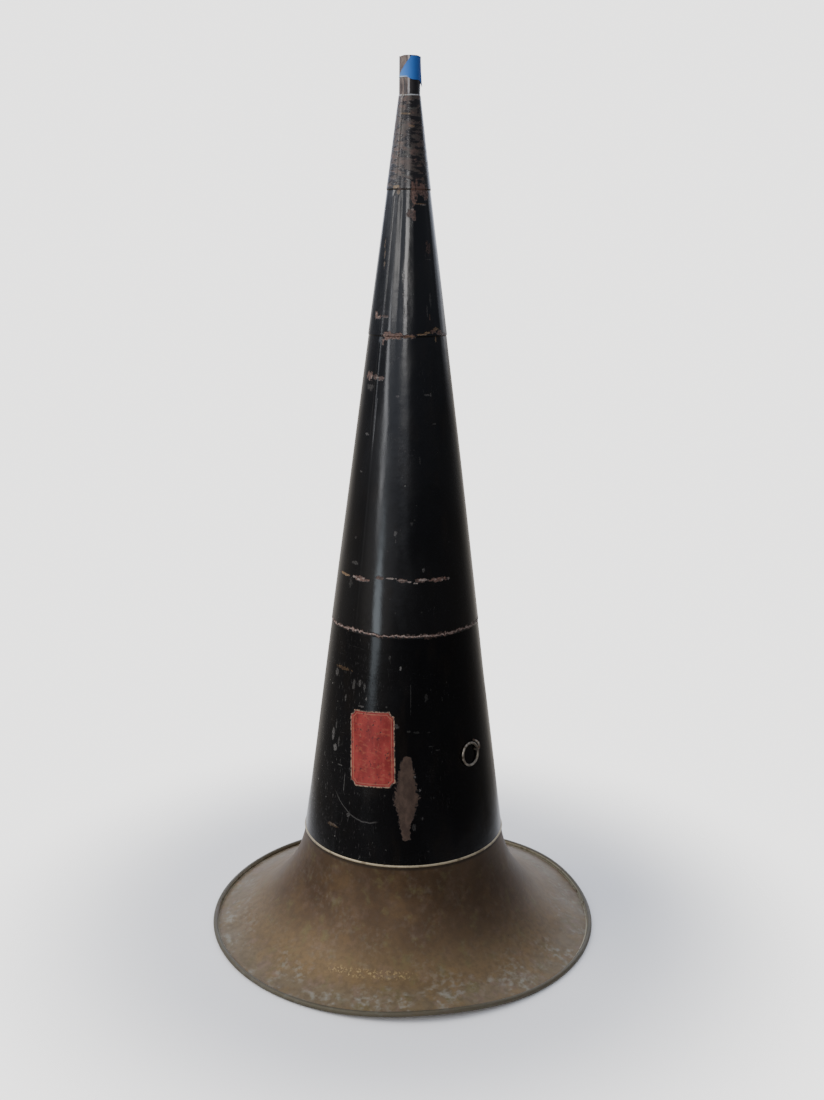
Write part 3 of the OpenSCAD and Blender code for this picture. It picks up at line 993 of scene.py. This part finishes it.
def tape(material, columns=90, count=22):
    """A strip of painter's tape pressed slantwise round the mouth tube, one corner loose."""
    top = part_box("mouth_tube")[1]
    share = np.linspace(0, 1, count)[:, None]
    run = np.linspace(0, 1, columns)[None, :]
    left = -80 + 86 * share**0.85
    turn = left + (176 - left) * run
    flap = np.exp(-(((turn - 92) / 18) ** 2)) * (1 - share) ** 2
    base = top.z - 16.8 * MM - 2.0 * MM * smooth(turn, -20, 20) - 5.0 * MM * flap
    height = base + (top.z - 0.6 * MM - base) * share
    angle = np.radians(FRONT + turn)
    wrinkle = 0.06 * MM * np.sin(turn / 7 + 9 * share) * np.cos(turn / 17 + 5 * share)
    lifted = 1.1 * MM * flap + wrinkle + 0.12 * MM * (1 - run) ** 12
    inner = around(angle, height, top.x + 0.14 * MM + lifted)
    outer = around(angle, height, top.x + 0.28 * MM + lifted)
    thing = slab("tape_strip", outer, inner, [material])
    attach(thing, "horn")


def hanging_ring(material, count=160, sides=20):
    """The ring: bent wire, not quite even in thickness, with a butt joint."""
    hung = mount("hanging_ring")
    centre, normal = Vector(hung["pos_m"]), Vector(hung["axis"]).normalized()
    points = vertices("hanging_ring") - np.array(centre)
    depth = points @ np.array(normal)
    wire_r = (depth.max() - depth.min()) / 2
    ring_r = np.linalg.norm(points, axis=1).max() - wire_r
    side = normal.cross(Vector((0, 0, 1))).normalized()
    up = side.cross(normal)
    angle, turn = circle(count)[:, None, None], circle(sides)[:, None]
    joint = np.exp(-(((angle - 3.9) / 0.035) ** 2))
    width = wire_r * (0.985 - 0.35 * joint + 0.012 * np.cos(5 * angle))
    out = np.cos(angle) * np.array(side) + np.sin(angle) * np.array(up)
    spoke = np.cos(turn) * out + np.sin(turn) * np.array(normal)
    rows = np.array(centre) + ring_r * out + width * spoke
    finish(loops("ring_hoop", rows, [material]), "hanging_ring", "ring")


def carried_over(materials):
    """Gives the CAD nodes that stay their own finishes."""
    for node, material in materials.items():
        mesh = frame["nodes"][node].data
        mesh.materials.clear()
        mesh.materials.append(material)


# ---- Stage, lights and camera ----


def floor(material, reach=0.5, columns=64):
    """A round pale floor under the horn."""
    points = around(circle(columns), 0.0, reach)
    piece("floor", points, np.arange(columns)[None], [material])


# Lamps: name, turn, height, distance, size, power, colour, the height aimed at, and lean
LAMPS = [
    # Boxes in front and on the left, whose reflections are the long highlights
    ("strip_low", -44, 0.19, 2.2, (0.46, 0.38), 2.45, (0.8, 0.91, 1.0), 0.28, 0.5),
    ("strip_middle", -52.5, 0.76, 2.2, (0.31, 0.58), 3.5, (0.96, 0.97, 1.0), 0.75, 0.42),
    ("strip_high", -42, 1.18, 2.2, (0.4, 0.34), 2.6, (1.0, 0.97, 0.93), 1.18, 0),
    ("window_high", -7, 1.16, 2.2, (0.78, 0.36), 9.0, (1.0, 0.97, 0.94), 1.16, 0),
    # A wide box high on the left, for everything else
    ("key_left", -80, 1.6, 1.5, (1.1, 1.1), 21, (1.0, 0.95, 0.88), 0.1, 0),
]


def stand(turn, distance, height):
    """A place at a turn from the front, a distance from the horn's axis and a height."""
    angle = math.radians(FRONT + turn)
    return Vector((distance * math.cos(angle), distance * math.sin(angle), height))


def soft_box(name, turn, height, distance, size, power, color, aim_z, lean):
    """A rectangular lamp, aimed at the horn's axis."""
    lamp = bpy.data.lights.new(name, "AREA")
    lamp.shape, lamp.size, lamp.size_y = "RECTANGLE", *size
    lamp.energy, lamp.color = power, color
    place = stand(turn, distance, height)
    facing = (Vector((0, 0, aim_z)) - place).to_track_quat("-Z", "Y").to_matrix().to_4x4()
    leaning = facing @ Matrix.Rotation(lean, 4, "Z")
    placed(name, lamp).matrix_world = Matrix.Translation(place) @ leaning


def room():
    """The room: pale and plain where the camera sees it, and dark in front for the gloss."""
    world = bpy.data.worlds.new("room")
    bpy.context.scene.world = world
    world.use_nodes = True
    n = Nodes(world.node_tree)
    toward = n.add("TexCoord", {}, output="Generated")
    up = n.value("SeparateXYZ", {0: toward}, output="Z")

    def facing(turn):
        inputs = {0: toward, 1: stand(turn, 1, 0)}
        return n.value("VectorMath", inputs, "Value", operation="DOT_PRODUCT")

    side_right = facing(165).rise(0.5, 0.97)
    right_back = side_right * side_right * (up.rise(-0.02, 0.07) * 0.88 + 0.12) * 1.9
    left_back = facing(-172).rise(0.62, 0.94) * (up.rise(0.03, 0.2) * 0.65 + 0.35) * 0.95
    left_high = facing(-110).rise(0.35, 0.75) * up.rise(0.17, 0.21) * up.rise(0.6, 0.45) * 1.3
    front_left = facing(-22).rise(0.86, 0.91) * up.rise(0.03, 0.13) * 0.75
    low_left = facing(-48).rise(0.81, 0.99) * up.rise(-0.13, -0.06) * up.rise(0.09, 0.04) * 0.5
    left = facing(-80).rise(-0.2, 0.9) * 0.12
    above = up.rise(0.42, 0.75) * 1.1
    front_high = up.rise(0.05, 0.18) * 0.16
    total = right_back + left_back + left_high + front_left + low_left
    total = total + left + above + front_high + 0.12
    seen = n.value("LightPath", {}, "Is Camera Ray")
    tint = n.mix(up.rise(-0.08, 0.12), (1.02, 0.95, 0.87), (0.85, 0.91, 1.06))
    glow = n.tree.nodes["Background"]
    n.give(glow.inputs["Color"], n.mix(seen, tint, (1.0, 0.99, 0.98)))
    n.give(glow.inputs["Strength"], total * (1 - seen) + seen * 2.7)


def camera():
    """The camera: a step back from the horn, above its middle, looking down at it."""
    data = bpy.data.cameras.new("camera")
    data.sensor_width, data.lens = 36.0, 41.5
    place = stand(0, 1.0915, 0.614)
    yaw, pitch, roll = math.radians(0.289), math.radians(13.454), math.radians(0.551)
    look = Matrix.Rotation(math.radians(FRONT) + math.pi / 2 - yaw, 4, "Z")
    look = look @ Matrix.Rotation(math.pi / 2 - pitch, 4, "X") @ Matrix.Rotation(roll, 4, "Z")
    holder = placed("camera", data)
    holder.matrix_world = Matrix.Translation(place) @ look
    bpy.context.scene.camera = holder


camera()
japan_lower = black_japan(LOWER, "lower", 0.25)
japan_middle = black_japan(MIDDLE, "middle", 0.45)
japan_upper = black_japan(UPPER, "upper", 0.45)
throat_paint, inside_tin = worn_japan(), bare_inside()
iron, tin_lead = iron_wire(), solder()
tin_section(LOWER, japan_lower, inside_tin)
tin_section(MIDDLE, japan_middle, inside_tin)
tin_section(UPPER, japan_upper, inside_tin, 360, 2.0)
tin_section(THROAT, throat_paint, inside_tin, 240, 1.6)
lap_fillet("middle_lap_solder", MIDDLE, LOWER, japan_lower)
lap_fillet("upper_lap_solder", UPPER, MIDDLE, japan_middle, 360)
lap_fillet("throat_lap_solder", THROAT, UPPER, throat_paint, 240)
bell(aged_brass(), bell_inside())
rim_wire(iron)
bead(bright_brass())
mouth_tube(worn_tin())
tube_fillet(tin_lead)
label()
tape(blue_tape())
hanging_ring(ring_wire())
carried_over({"ring_eye": iron, "eye_solder": tin_lead, "bell_solder": tin_lead})
floor(pale_floor())
for lamp in LAMPS:
    soft_box(*lamp)
room()
